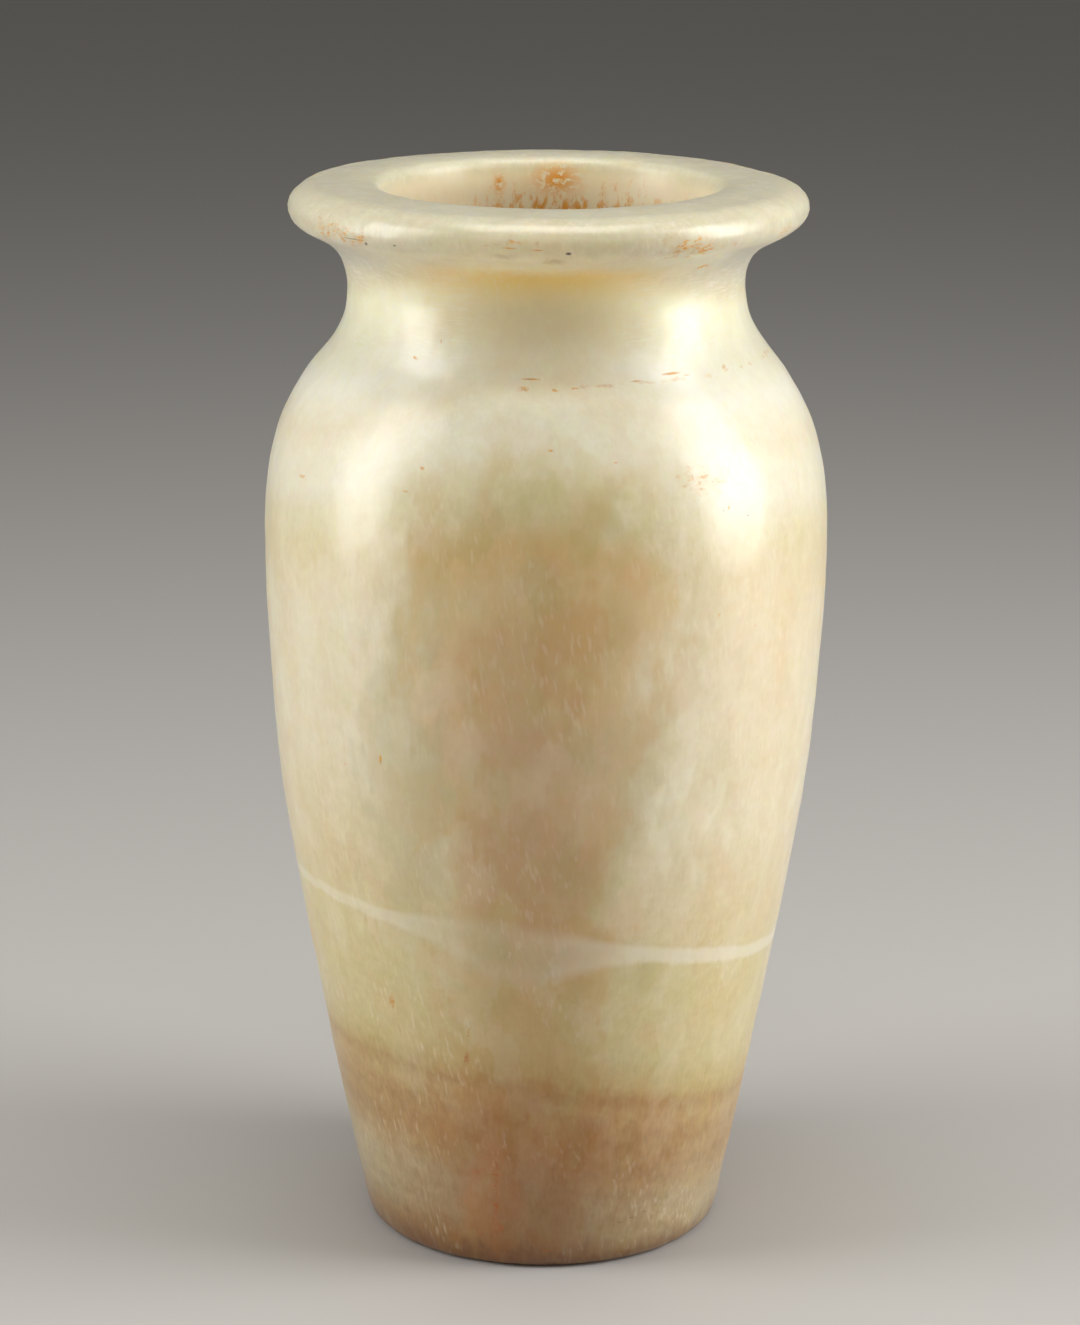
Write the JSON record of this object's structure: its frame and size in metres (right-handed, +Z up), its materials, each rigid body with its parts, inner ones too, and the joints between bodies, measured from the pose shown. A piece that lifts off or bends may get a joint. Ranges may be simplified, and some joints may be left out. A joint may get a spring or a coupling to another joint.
{
  "type": "calcite jar",
  "caption": "Tall turned stone jar: small flat foot, wall widening to a high shoulder, short neck, thick rounded flaring rim and an open drilled hollow.",
  "frame": {"origin": "middle of the flat underside, at the level of the surface that the jar stands on", "axes": "+Z up along the jar's axis; +Y away from the picture's viewer, +X to the viewer's right"},
  "size_m": [0.1574, 0.1574, 0.3],
  "materials": {
    "calcite": "polished, waxy, translucent cream stone with pale and brown bands"
  },
  "bodies": {
    "root": {"jar": "calcite"}
  },
  "joints": []
}
